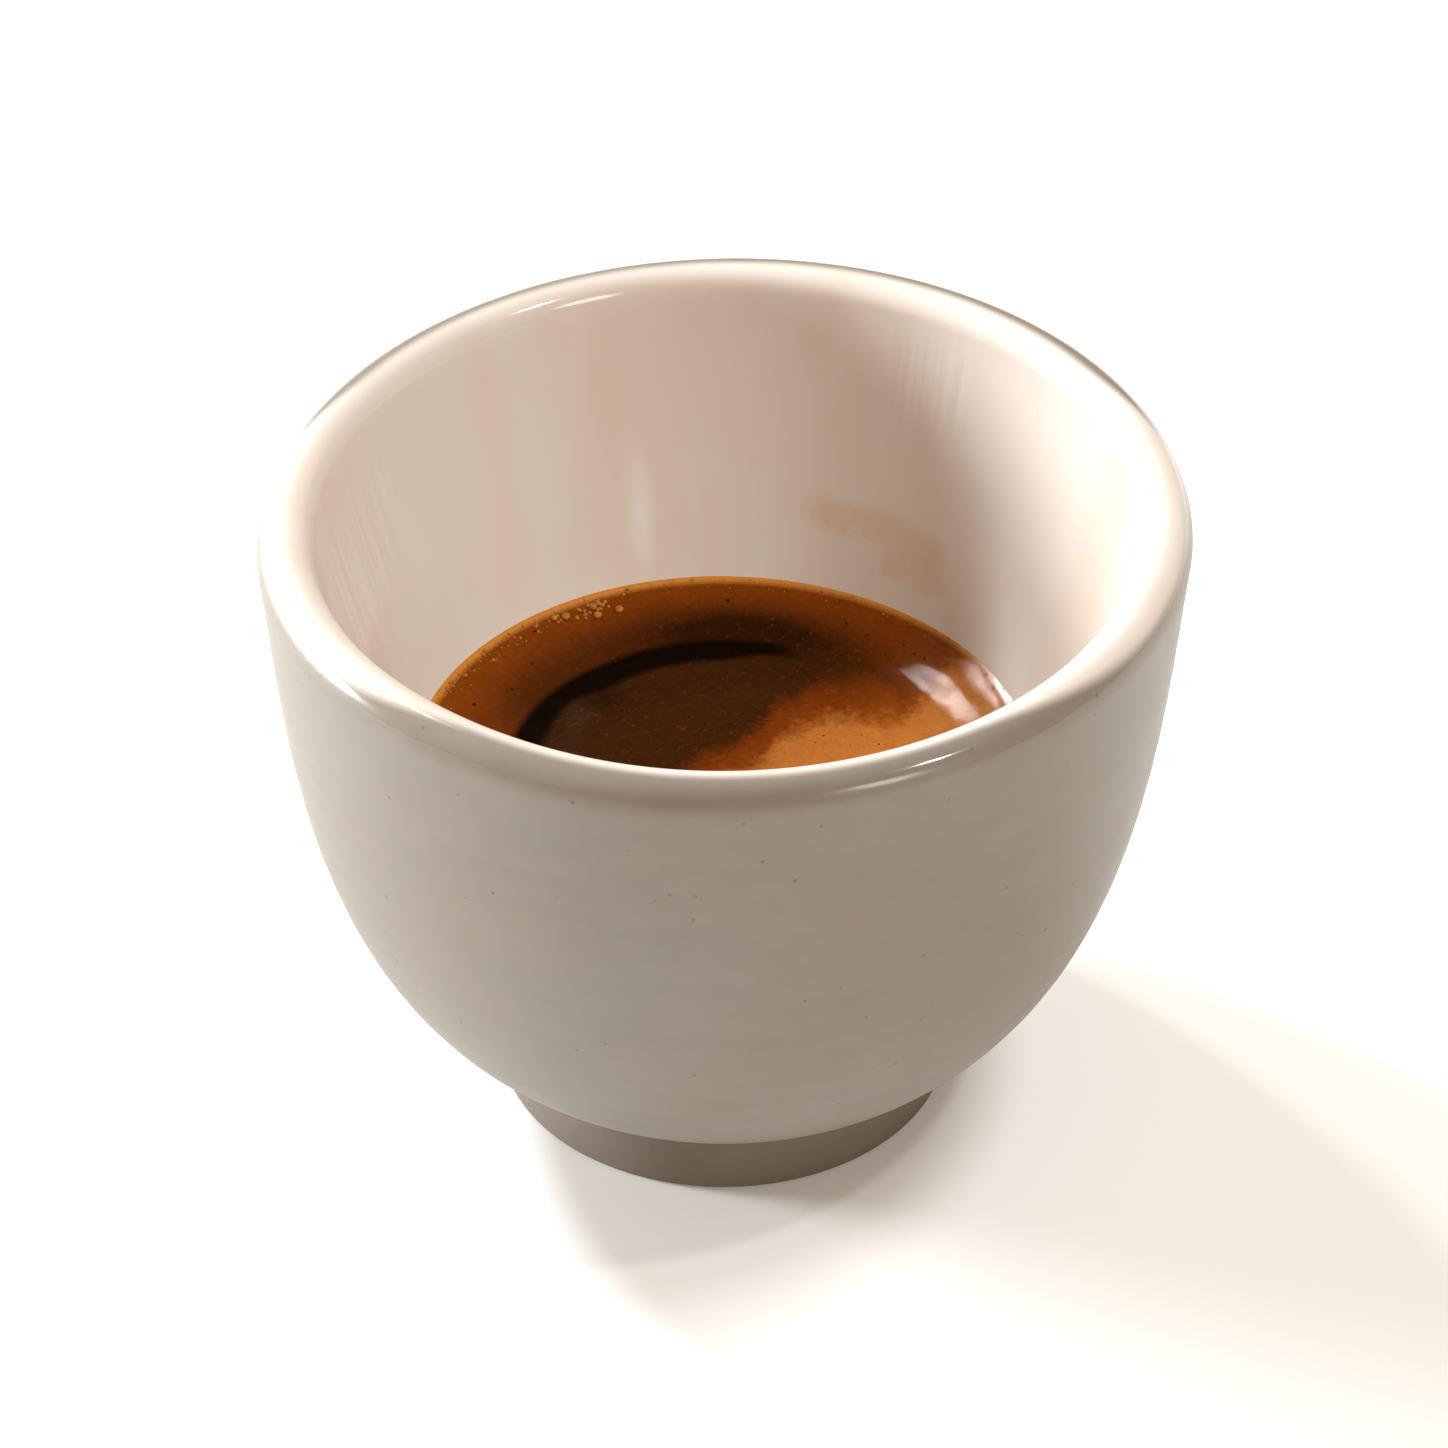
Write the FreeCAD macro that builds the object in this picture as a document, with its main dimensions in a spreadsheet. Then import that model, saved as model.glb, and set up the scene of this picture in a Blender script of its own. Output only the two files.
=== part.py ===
"""Espresso shot: a short coffee with crema in its thick-walled stoneware cup.

Millimetres, +Z up. The origin is the centre of the foot, on the table.
Three pieces, each a body turned about the Z axis:
  cup     one fired solid: foot ring, belly, rounded rim and well
  coffee  the dark liquid, which fills the bottom of the well
  crema   the foam layer that floats on it, up to the drink's level
"""
import FreeCAD
import Part
import Sketcher
import math
import os

# name of each driving size, its value and what it is
SIZES = (
    ("cup_height", 56.0, "table to the top of the rim"),
    ("rim_radius", 37.5, "outside of the rim, where the cup is widest"),
    ("rim_width", 4.6, "rim across its full round"),
    ("foot_radius", 19.0, "foot ring at the table"),
    ("foot_taper", 0.3, "how much narrower the foot is where the belly starts"),
    ("foot_height", 6.0, "table to the underside of the belly"),
    ("foot_ring_width", 3.4, "width of the ring that touches the table"),
    ("foot_recess", 2.4, "hollow inside the foot ring, up from the table"),
    ("foot_edge", 0.4, "rounding of the ring's two edges at the table"),
    ("belly_run", 16.95, "outward handle of the belly's curve, from the foot"),
    ("belly_rise", 7.9, "upward handle of the belly's curve, from the foot"),
    ("shoulder_drop", 16.8, "handle of the outer curve, down from the rim's top"),
    ("shoulder_lean", 1.52, "handle of the outer curve, in from the rim's outside"),
    ("floor_height", 10.5, "table to the floor of the well"),
    ("floor_run", 14.0, "level handle of the well's curve, out from the axis"),
    ("well_drop", 39.5, "handle of the well's curve, down from the rim's top"),
    ("well_lean", 8.2, "handle of the well's curve, in from the rim's inside"),
    ("drink_level", 30.1, "table to the top of the crema"),
    ("crema_thickness", 3.0, "foam on top of the liquid"),
)

CUTTER_MARGIN = 5.0     # how far a cutting outline reaches past the cup
POLE_CIRCLE = 1.0       # drawn radius of a curve's control circles
CUBIC = 3               # degree of the curves
START, END, CENTRE = 1, 2, 3    # a sketch element's points, as constraints number them
SKETCH_ORIGIN = (-1, START)
RADIUS_AXIS, TURNING_AXIS = -1, -2

doc = FreeCAD.newDocument("EspressoShot")

sheet = doc.addObject("Spreadsheet::Sheet", "Sizes")
for row, (alias, number, meaning) in enumerate(SIZES, start=1):
    sheet.set(f"A{row}", alias)
    sheet.set(f"B{row}", str(number))
    sheet.setAlias(f"B{row}", alias)
    sheet.set(f"C{row}", meaning)
doc.recompute()

# places that several outlines share, as expressions of the sheet
RIM_ROUND = "Sizes.rim_width / 2"
RIM_CENTRE = (f"Sizes.rim_radius - {RIM_ROUND}", f"Sizes.cup_height - {RIM_ROUND}")
NECK = ("Sizes.foot_radius - Sizes.foot_taper", "Sizes.foot_height")
FLOOR = ("0", "Sizes.floor_height")
CREMA_UNDERSIDE = "Sizes.drink_level - Sizes.crema_thickness"


def spot(place):
    """A sketch point from two expressions: its radius and its height."""
    return FreeCAD.Vector(*(sheet.evalExpression(text) for text in place), 0)


def new_body(label):
    body = doc.addObject("PartDesign::Body", label.capitalize())
    body.Label = label
    return body


def new_sketch(body, name):
    """A sketch on the body's own XZ plane: its Y axis is the model's Z axis."""
    planes = body.Origin.OriginFeatures
    plane = next(p for p in planes if p.Role == "XZ_Plane")
    sketch = body.newObject("Sketcher::SketchObject", name)
    sketch.AttachmentSupport = (plane, [""])
    sketch.MapMode = "FlatFace"
    return sketch


def hold(sketch, geo, vertex, place):
    """Bind one point to its expressions, or to an axis where one of them is 0."""
    directions = (("DistanceX", TURNING_AXIS), ("DistanceY", RADIUS_AXIS))
    for (direction, axis), text in zip(directions, place):
        if text == "0":
            sketch.addConstraint(Sketcher.Constraint("PointOnObject", geo, vertex, axis))
        else:
            now = sheet.evalExpression(text)
            distance = Sketcher.Constraint(direction, *SKETCH_ORIGIN, geo, vertex, now)
            sketch.setExpression(f"Constraints[{sketch.addConstraint(distance)}]", text)


def join(sketch, first, second):
    """Tie the end of one side to the start of the next."""
    sketch.addConstraint(Sketcher.Constraint("Coincident", first, END, second, START))


def add_line(sketch, start, end):
    """A straight side between two points, given as expressions."""
    return sketch.addGeometry(Part.LineSegment(spot(start), spot(end)), False)


def add_curve(sketch, start, handles, end):
    """A cubic curve whose two handles are bound to their expressions."""
    places = [start, *handles, end]
    circles = []
    for place in places:
        circle = Part.Circle(spot(place), FreeCAD.Vector(0, 0, 1), POLE_CIRCLE)
        circles.append(sketch.addGeometry(circle, True))
    sketch.addConstraint(Sketcher.Constraint("Weight", circles[0], 1.0))
    for circle in circles[1:]:
        sketch.addConstraint(Sketcher.Constraint("Equal", circles[0], circle))
    poles = [spot(place) for place in places]
    spline = Part.BSplineCurve(poles, None, None, False, CUBIC, None, False)
    curve = sketch.addGeometry(spline, False)
    for number, circle in enumerate(circles):
        sketch.addConstraint(Sketcher.Constraint(
            "InternalAlignment:Sketcher::BSplineControlPoint", circle, CENTRE, curve, number))
    for circle, handle in zip(circles[1:-1], handles):
        hold(sketch, circle, CENTRE, handle)
    return curve, circles[1], circles[2]


def rim_point(arc, end):
    """Where the rim's arc starts, on the outside, or ends, on the inside."""
    return arc.StartPoint if end == START else arc.EndPoint


def meet_rim(sketch, rim, rim_end, handle, curve, curve_end):
    """End a curve on the rim's arc so that its last handle is tangent to the arc."""
    geometry = sketch.Geometry
    tangent = Part.LineSegment(geometry[handle].Center, rim_point(geometry[rim], rim_end))
    line = sketch.addGeometry(tangent, True)
    sketch.addConstraint(Sketcher.Constraint("Coincident", line, START, handle, CENTRE))
    sketch.addConstraint(Sketcher.Constraint("Tangent", line, END, rim, rim_end))
    sketch.addConstraint(Sketcher.Constraint("Coincident", rim, rim_end, curve, curve_end))


def add_rim(sketch, construction):
    """The full round of the rim, from the outside over the top to the well."""
    radius = sheet.evalExpression(RIM_ROUND)
    circle = Part.Circle(spot(RIM_CENTRE), FreeCAD.Vector(0, 0, 1), radius)
    rim = sketch.addGeometry(Part.ArcOfCircle(circle, 0, math.pi), construction)
    index = sketch.addConstraint(Sketcher.Constraint("Radius", rim, radius))
    sketch.setExpression(f"Constraints[{index}]", RIM_ROUND)
    hold(sketch, rim, CENTRE, RIM_CENTRE)
    return rim


def add_well(sketch, rim):
    """The inside of the cup: a curve from the rim down to the level floor."""
    inside = "Sizes.rim_radius - Sizes.rim_width"
    handles = (
        (f"{inside} - Sizes.well_lean", "Sizes.cup_height - Sizes.well_drop"),
        ("Sizes.floor_run", "Sizes.floor_height"),
    )
    well, handle, _ = add_curve(sketch, (inside, RIM_CENTRE[1]), handles, FLOOR)
    meet_rim(sketch, rim, END, handle, well, START)
    hold(sketch, well, END, FLOOR)
    return well


def draw_cup_section(sketch):
    """Half of the cup cut through its axis, from the foot round to the well."""
    base = ("0", "0")
    foot = ("Sizes.foot_radius", "0")
    handles = (
        (f"{NECK[0]} + Sizes.belly_run", "Sizes.foot_height + Sizes.belly_rise"),
        ("Sizes.rim_radius - Sizes.shoulder_lean", "Sizes.cup_height - Sizes.shoulder_drop"),
    )
    underside = add_line(sketch, base, foot)
    side = add_line(sketch, foot, NECK)
    belly, _, handle = add_curve(sketch, NECK, handles, ("Sizes.rim_radius", RIM_CENTRE[1]))
    rim = add_rim(sketch, construction=False)
    meet_rim(sketch, rim, START, handle, belly, END)
    well = add_well(sketch, rim)
    axis = add_line(sketch, FLOOR, base)
    join(sketch, underside, side)
    join(sketch, side, belly)
    join(sketch, well, axis)
    join(sketch, axis, underside)
    hold(sketch, underside, START, base)
    hold(sketch, side, START, foot)
    hold(sketch, belly, START, NECK)


def draw_fill_section(sketch):
    """Half of what fills the well up to where its wall meets the rim.

    It has the same wall as the cup, so drink and cup touch whatever the
    sizes are.
    """
    rim = add_rim(sketch, construction=True)
    sketch.addConstraint(Sketcher.Constraint("Horizontal", rim, START, rim, CENTRE))
    well = add_well(sketch, rim)
    mouth = ("0", RIM_CENTRE[1])
    axis = add_line(sketch, FLOOR, mouth)
    top = add_line(sketch, mouth, (RIM_CENTRE[0], RIM_CENTRE[1]))
    join(sketch, well, axis)
    join(sketch, axis, top)
    join(sketch, top, well)
    sketch.addConstraint(Sketcher.Constraint("Vertical", axis))
    sketch.addConstraint(Sketcher.Constraint("Horizontal", top))


def draw_rectangle(sketch, width, low, high):
    """A rectangle from the axis out to a width, between two heights."""
    corners = (("0", low), (width, low), (width, high), ("0", high))
    sides = []
    for number, corner in enumerate(corners):
        sides.append(add_line(sketch, corner, corners[(number + 1) % len(corners)]))
    for number, side in enumerate(sides):
        join(sketch, side, sides[(number + 1) % len(sides)])
        hold(sketch, side, START, corners[number])


def draw_slab(sketch, low, high):
    """A rectangle on the axis between two heights, reaching past the cup's wall."""
    reach = f"Sizes.rim_radius + {CUTTER_MARGIN}"
    draw_rectangle(sketch, reach, low, high)


def turn(body, kind, name, draw, *places):
    """Draw a section and revolve it about Z, to add (Revolution) or cut (Groove)."""
    sketch = new_sketch(body, f"{name}Section")
    draw(sketch, *places)
    doc.recompute()
    if not sketch.FullyConstrained:
        raise RuntimeError(f"{sketch.Name} can still move")
    before = body.Tip
    feature = body.newObject(f"PartDesign::{kind}", name)
    feature.Profile = sketch
    feature.ReferenceAxis = (sketch, ["V_Axis"])
    feature.Angle = 360.0
    doc.recompute()
    if kind == "Groove" and feature.Shape.Volume >= before.Shape.Volume:
        raise RuntimeError(f"{name} cut nothing")
    return feature


def edges_at_table(shape):
    """Names of the circles on which the foot ring's sides meet the table."""
    table = 0.0
    names = []
    for number, edge in enumerate(shape.Edges, start=1):
        if edge.Degenerated or not isinstance(edge.Curve, Part.Circle):
            continue
        if math.isclose(edge.Curve.Center.z, table, abs_tol=Part.Precision.confusion()):
            names.append(f"Edge{number}")
    return names


def make_cup():
    body = new_body("cup")
    turn(body, "Revolution", "Fired", draw_cup_section)
    ring_inside = "Sizes.foot_radius - Sizes.foot_ring_width"
    recess = turn(body, "Groove", "FootRecess", draw_rectangle,
                  ring_inside, "0", "Sizes.foot_recess")
    edges = body.newObject("PartDesign::Fillet", "FootEdges")
    edges.Base = (recess, edges_at_table(recess.Shape))
    edges.setExpression("Radius", "Sizes.foot_edge")
    doc.recompute()
    return body


def make_coffee():
    body = new_body("coffee")
    turn(body, "Revolution", "CoffeeFill", draw_fill_section)
    turn(body, "Groove", "CoffeeTop", draw_slab, CREMA_UNDERSIDE, "Sizes.cup_height")
    return body


def make_crema():
    body = new_body("crema")
    turn(body, "Revolution", "CremaFill", draw_fill_section)
    turn(body, "Groove", "CremaTop", draw_slab, "Sizes.drink_level", "Sizes.cup_height")
    turn(body, "Groove", "CremaUnderside", draw_slab, "0", CREMA_UNDERSIDE)
    return body


pieces = [make_cup(), make_coffee(), make_crema()]
doc.recompute()

for item in doc.Objects:
    if "Invalid" in item.State or "Error" in item.State:
        raise RuntimeError(f"{item.Name} failed: {item.State}")

os.makedirs("parts", exist_ok=True)
for piece in pieces:
    shape = piece.Shape
    if shape.isNull() or not shape.isValid() or len(shape.Solids) != 1:
        raise RuntimeError(f"{piece.Label} is not one valid solid")
    shape.exportStep(os.path.join("parts", f"{piece.Label}.step"))
    box = shape.optimalBoundingBox(False)
    print(f"{piece.Label:7s} {shape.Volume / 1000:7.2f} cm3   "
          f"width {box.XLength:.2f}   from {box.ZMin:.2f} to {box.ZMax:.2f} mm")
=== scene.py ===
# %% [markdown]
# # An espresso shot in a stoneware cup
#
# This lesson dresses a small coffee. The construction is already fixed: three
# turned pieces called cup, coffee and crema, made at their real size. Here
# they get what the eye enjoys: a glaze that changes from satin to gloss, bare
# clay on the foot, and a wet foam with its bubbles, its dark swirl and the
# little slope where it climbs the wall.

# %% Load the frame
import math
import bmesh
import bpy
import numpy as np
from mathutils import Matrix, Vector


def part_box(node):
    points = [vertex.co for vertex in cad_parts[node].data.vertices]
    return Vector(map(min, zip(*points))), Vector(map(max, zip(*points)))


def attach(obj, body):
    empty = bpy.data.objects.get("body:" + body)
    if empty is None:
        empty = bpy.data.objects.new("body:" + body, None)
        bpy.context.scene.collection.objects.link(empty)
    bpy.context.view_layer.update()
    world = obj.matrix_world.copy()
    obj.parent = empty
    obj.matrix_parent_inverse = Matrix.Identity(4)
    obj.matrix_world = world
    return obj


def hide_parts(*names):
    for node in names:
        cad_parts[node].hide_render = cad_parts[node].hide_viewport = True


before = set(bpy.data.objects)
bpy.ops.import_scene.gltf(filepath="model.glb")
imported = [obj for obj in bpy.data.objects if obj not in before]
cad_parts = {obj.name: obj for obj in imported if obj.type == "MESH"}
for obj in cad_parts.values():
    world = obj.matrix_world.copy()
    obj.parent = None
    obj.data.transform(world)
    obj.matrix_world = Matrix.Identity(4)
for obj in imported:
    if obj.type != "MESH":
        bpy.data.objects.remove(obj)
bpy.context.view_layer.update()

MM = 0.001
cup_low, cup_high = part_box("cup")
crema_low, crema_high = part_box("crema")
coffee_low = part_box("coffee")[0]
RIM_RADIUS = (cup_high[0] - cup_low[0]) / 2
CUP_HEIGHT = cup_high[2]
DRINK_LEVEL = crema_high[2]
CREMA_UNDERSIDE = crema_low[2]
FLOOR_HEIGHT = coffee_low[2]
print(f"cup {2000 * RIM_RADIUS:.1f} mm wide, {1000 * CUP_HEIGHT:.1f} mm high, "
      f"drink up to {1000 * DRINK_LEVEL:.1f} mm")

# %% [markdown]
# ## The camera
#
# A small cup looks best from where a person sits: about 38 degrees above the
# table, and far enough away that its round rim isn't stretched. A long lens
# on a distant camera does that. The camera looks at a point on the cup's axis
# somewhat above half its height.

# %% Camera
AIM_HEIGHT = 0.0341         # metres, as everything in the frame is
CAMERA_ELEVATION = math.radians(37.93)
CAMERA_DISTANCE = 0.533
CAMERA_ROLL = 0.0022        # radians
LENS_MM = 161.5
SENSOR_MM = 36.0

scene = bpy.context.scene
camera_data = bpy.data.cameras.new("table_camera")
camera_data.lens = LENS_MM
camera_data.sensor_width = SENSOR_MM
camera_data.clip_start = 0.01
camera = bpy.data.objects.new("table_camera", camera_data)
scene.collection.objects.link(camera)
aim = Vector((0, 0, AIM_HEIGHT))
away = Vector((0, -math.cos(CAMERA_ELEVATION), math.sin(CAMERA_ELEVATION)))
camera.location = aim + away * CAMERA_DISTANCE
look = away.to_track_quat("Z", "Y").to_matrix().to_4x4()
camera.rotation_euler = look.to_euler()
camera.rotation_euler.rotate_axis("Z", CAMERA_ROLL)
scene.camera = camera
print("camera at", [round(1000 * c) for c in camera.location], "mm")

# %% [markdown]
# ## Light and table
#
# Six round softboxes make a small studio. The key stands behind the cup on the
# left: it lights the inside on the right and throws the rim's shadow across
# the crema. A low one beside it draws the bright edge down the left side. Two
# small ones are there for their glints, one where the foam slopes up to the
# wall and one on the bubbles and the lip. One at the front right and a wide one
# overhead fill the shadows. The air of the room adds a little warm light from
# all round, and the table is so pale and so well lit that it turns white.

# %% Lights
BOX_DISTANCE = 1.6          # metres from the aimed point to every softbox


def softbox(name, azimuth, elevation, width, power, colour):
    """A round area light aimed at the cup. Azimuth 0 is behind it, 90 on its left."""
    data = bpy.data.lights.new(name, "AREA")
    data.shape = "DISK"
    data.size = width
    data.energy = power
    data.color = colour
    light = bpy.data.objects.new(name, data)
    scene.collection.objects.link(light)
    turn, rise = math.radians(azimuth), math.radians(elevation)
    toward = Vector((-math.sin(turn) * math.cos(rise), math.cos(turn) * math.cos(rise),
                     math.sin(rise)))
    light.location = aim + toward * BOX_DISTANCE
    light.rotation_euler = toward.to_track_quat("Z", "Y").to_euler()
    return light


softbox("key_box", azimuth=50, elevation=38, width=0.26, power=23.5,
        colour=(0.84, 0.94, 1.0))
softbox("edge_box", azimuth=77, elevation=12, width=0.45, power=36,
        colour=(0.94, 0.97, 1.0))
softbox("glint_box", azimuth=30, elevation=49.5, width=0.1, power=6,
        colour=(1.0, 0.97, 0.94))
softbox("sparkle_box", azimuth=-110, elevation=60, width=0.1, power=4,
        colour=(1.0, 0.98, 0.94))
softbox("right_box", azimuth=-142, elevation=35, width=0.4, power=4,
        colour=(1.0, 0.97, 0.9))
high_box = softbox("high_box", azimuth=-85, elevation=66, width=0.45, power=11.5,
                   colour=(0.93, 0.98, 1.0))
high_box.visible_glossy = False      # it fills the shadows and makes no glint

world = bpy.data.worlds.new("studio_air")
scene.world = world
world.use_nodes = True
AIR_COLOUR = (1.0, 0.64, 0.4, 1.0)
AIR_STRENGTH = 0.36
world.node_tree.nodes["Background"].inputs["Color"].default_value = AIR_COLOUR
world.node_tree.nodes["Background"].inputs["Strength"].default_value = AIR_STRENGTH
scene.view_settings.view_transform = "Standard"

# %% [markdown]
# ## Helpers for materials
#
# Paint shops and screens give colours as sRGB hex values, but Blender's
# shaders reckon in linear light. One function turns the first into the
# second. A second one adds a shader node, with its settings and its links,
# so that each material below reads as a short recipe.

# %% Material helpers
def linear(hex_colour):
    """An sRGB hex colour, such as E8E2DA, as linear red, green, blue and alpha."""
    values = [int(hex_colour[i:i + 2], 16) / 255 for i in (0, 2, 4)]
    return tuple(v / 12.92 if v <= 0.04045 else ((v + 0.055) / 1.055) ** 2.4
                 for v in values) + (1.0,)


def add(material, kind, inputs=None, output=None, **settings):
    """Add a node with its settings and inputs, and give back one of its outputs.

    An input is a plain value, or another node's output, which gets linked.
    """
    tree = material.node_tree
    node = tree.nodes.new(kind)
    for name, value in settings.items():
        setattr(node, name, value)
    for name, value in (inputs or {}).items():
        socket = node.inputs[name] if isinstance(name, int) else next(
            s for s in node.inputs if s.enabled and s.name == name)
        if isinstance(value, bpy.types.NodeSocket):
            tree.links.new(value, socket)
        else:
            socket.default_value = value
    return next((s for s in node.outputs if s.enabled and output in (None, s.name)), None)


def new_material(name, ior):
    """A material with one Principled shader, and that shader."""
    material = bpy.data.materials.new(name)
    material.use_nodes = True
    shader = material.node_tree.nodes["Principled BSDF"]
    shader.inputs["IOR"].default_value = ior
    return material, shader


def feed(material, shader, **outputs):
    """Link outputs to the shader's inputs; an underscore stands for a space."""
    for name, output in outputs.items():
        material.node_tree.links.new(output, shader.inputs[name.replace("_", " ")])


def per_metre(size_mm):
    """The scale of a texture whose features are this many millimetres apart."""
    return 1000.0 / size_mm


print("mid grey in linear light:", round(linear("808080")[0], 3))

# %% [markdown]
# ## The cup's section
#
# A thrown cup is a turned shape: one outline swept round an axis. In Blender
# a Screw modifier on a curve would do it. Here the outline is worked out as
# points, because then each ring of the cup can also carry what the potter's
# hand left: a rim that isn't quite level and faint rings on the wall.
#
# The outline starts under the foot, follows the belly up to the round rim,
# and comes down inside along the well. Its sizes are those of the fired cup.

# %% Cup section
RIM_ROUND = 2.3 * MM
FOOT_RADIUS = 19.0 * MM
FOOT_TAPER = 0.3 * MM
FOOT_HEIGHT = 6.0 * MM
FOOT_RING_WIDTH = 3.4 * MM
FOOT_RECESS = 2.4 * MM
FOOT_EDGE = 0.4 * MM
BELLY_HANDLE = np.array([16.95, 7.9]) * MM       # out and up from the foot
SHOULDER_HANDLE = np.array([1.52, 16.8]) * MM    # in and down from the rim
WELL_HANDLE = np.array([8.2, 39.5]) * MM         # in and down from the rim
FLOOR_RUN = 14.0 * MM


def cubic(start, handle_a, handle_b, end, steps):
    """Points on a cubic curve, without its last one."""
    t = np.linspace(0, 1, steps, endpoint=False)[:, None]
    return ((1 - t) ** 3 * start + 3 * (1 - t) ** 2 * t * handle_a
            + 3 * (1 - t) * t ** 2 * handle_b + t ** 3 * end)


def arc(centre, radius, from_deg, to_deg, steps):
    """Points on an arc, with both its ends."""
    turn = np.radians(np.linspace(from_deg, to_deg, steps))
    return centre + radius * np.column_stack([np.cos(turn), np.sin(turn)])


def touch(handle, centre, radius, side):
    """Where the straight line from a handle touches the rim's circle, as an angle."""
    offset = handle - centre
    bearing = math.atan2(offset[1], offset[0])
    return math.degrees(bearing + side * math.acos(radius / np.hypot(*offset)))


rim_centre = np.array([RIM_RADIUS - RIM_ROUND, CUP_HEIGHT - RIM_ROUND])
neck = np.array([FOOT_RADIUS - FOOT_TAPER, FOOT_HEIGHT])
shoulder = np.array([RIM_RADIUS, CUP_HEIGHT]) - SHOULDER_HANDLE
inside_edge = np.array([RIM_RADIUS - 2 * RIM_ROUND, CUP_HEIGHT])
well_handle = inside_edge - WELL_HANDLE
outer_touch = touch(shoulder, rim_centre, RIM_ROUND, 1)
inner_touch = touch(well_handle, rim_centre, RIM_ROUND, -1) + 360
rim_points = arc(rim_centre, RIM_ROUND, outer_touch, inner_touch, 28)
floor_centre = np.array([0, FLOOR_HEIGHT])

ring_inside = FOOT_RADIUS - FOOT_RING_WIDTH
foot_points = np.vstack([
    [[0, FOOT_RECESS], [ring_inside / 2, FOOT_RECESS]],
    [[ring_inside - FOOT_EDGE, FOOT_RECESS]],
    [[ring_inside, FOOT_RECESS - FOOT_EDGE]],
    arc(np.array([ring_inside + FOOT_EDGE, FOOT_EDGE]), FOOT_EDGE, 180, 270, 6),
    arc(np.array([FOOT_RADIUS - FOOT_EDGE, FOOT_EDGE]), FOOT_EDGE, -90, 0, 6),
    np.linspace([FOOT_RADIUS - 0.02 * MM, 1 * MM], neck, 14, endpoint=False),
])
belly_points = cubic(neck, neck + BELLY_HANDLE, shoulder, rim_points[0], 76)
well_points = cubic(rim_points[-1], well_handle, np.array([FLOOR_RUN, FLOOR_HEIGHT]),
                    floor_centre, 76)
section = np.vstack([foot_points, belly_points, rim_points, well_points[1:], [floor_centre]])
print(f"section of {len(section)} points; rim from {outer_touch:.1f} to {inner_touch:.1f} degrees")

# %% [markdown]
# ## Turning the cup
#
# The section is repeated round the axis, 256 times, and neighbouring rings
# are joined by four-sided faces. Two things then make it a hand-thrown piece:
# the rim rises a little to the right, in front and at the front left, and very
# shallow rings run round the belly where fingers pressed the turning clay. A
# value stored on each point says how far over the lip it lies, from 0 outside
# to 1 inside, so that the glaze can change there.

# %% Lathe
SIDES = 256
RIM_SLOPE = 0.0209          # rise of the rim for each unit to the right
SLOPE_START = 8.0 * MM      # below this height the cup is true
FRONT_RISE = 0.4 * MM       # the front of the rim stands this much higher
BUMP_RISE = 0.6 * MM        # and its front left by this much again
BUMP_BEARING = -130.0       # in degrees round the axis, from the right
BUMP_SPREAD = 28.0
THROWING_DEPTH = 0.012 * MM
THROWING_PITCH = 3.1 * MM
THROWING_FADE = 6           # points of the section over which the rings fade in


def new_piece(name, vertices, faces, material, attributes=None):
    """A smooth-shaded mesh object with one value per point for each attribute."""
    mesh = bpy.data.meshes.new(name)
    mesh.from_pydata([tuple(v) for v in vertices], [], faces)
    mesh.validate()
    for label, values in (attributes or {}).items():
        layer = mesh.attributes.new(label, "FLOAT", "POINT")
        layer.data.foreach_set("value", np.asarray(values, dtype=np.float32))
    mesh.polygons.foreach_set("use_smooth", [True] * len(mesh.polygons))
    mesh.materials.append(material)
    piece = bpy.data.objects.new(name, mesh)
    scene.collection.objects.link(piece)
    print(f"{name}: {len(mesh.vertices)} points, {len(mesh.polygons)} faces")
    return piece


def turned(rings, sides):
    """Points and faces of a turned shape whose first and last points lie on the axis."""
    turn = np.linspace(0, 2 * np.pi, sides, endpoint=False)
    across = np.column_stack([np.cos(turn), np.sin(turn)])
    vertices = [(0.0, 0.0, rings[0][1])]
    for radius, height in rings[1:-1]:
        vertices += [(radius * x, radius * y, height) for x, y in across]
    last = len(vertices)
    vertices.append((0.0, 0.0, rings[-1][1]))
    faces = []
    count = len(rings) - 2
    for side in range(sides):
        beside = (side + 1) % sides
        faces.append((0, 1 + beside, 1 + side))
        for ring in range(count - 1):
            low, high = 1 + ring * sides, 1 + (ring + 1) * sides
            faces.append((low + side, low + beside, high + beside, high + side))
        top = 1 + (count - 1) * sides
        faces.append((last, top + side, top + beside))
    return np.array(vertices), faces


def lean(vertices):
    """Raise the rim to the right, in front and at the front left, most at the top."""
    share = np.clip((vertices[:, 2] - SLOPE_START) / (CUP_HEIGHT - SLOPE_START), 0, 1)
    toward_front = np.clip(-vertices[:, 1] / RIM_RADIUS, 0, 1) ** 1.5
    bearing = np.degrees(np.arctan2(vertices[:, 1], vertices[:, 0]))
    bump = np.exp(-((bearing - BUMP_BEARING) / BUMP_SPREAD) ** 2)
    vertices[:, 2] += RIM_SLOPE * share * vertices[:, 0] \
        + share ** 4 * (FRONT_RISE * toward_front + BUMP_RISE * bump)
    return vertices


cup_points, cup_faces = turned(section, SIDES)
radius = np.hypot(cup_points[:, 0], cup_points[:, 1])
along = np.concatenate([[0], np.repeat(np.arange(1, len(section) - 1), SIDES),
                        [len(section) - 1]]).astype(float)
first_belly = len(foot_points)
first_rim = first_belly + len(belly_points)
first_well = first_rim + len(rim_points)
on_belly = np.minimum(along - first_belly - 4, first_rim - THROWING_FADE - along)
on_belly = np.clip(on_belly / THROWING_FADE, 0, 1)
ripple = THROWING_DEPTH * np.sin(2 * np.pi * cup_points[:, 2] / THROWING_PITCH)
grow = 1 + on_belly * ripple / np.maximum(radius, MM)
cup_points[:, :2] *= grow[:, None]
cup_points = lean(cup_points)
inside = np.clip((along - first_rim) / (first_well - first_rim), 0, 1)
print(f"the rim's highest point is at {1000 * cup_points[:, 2].max():.2f} mm")

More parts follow.
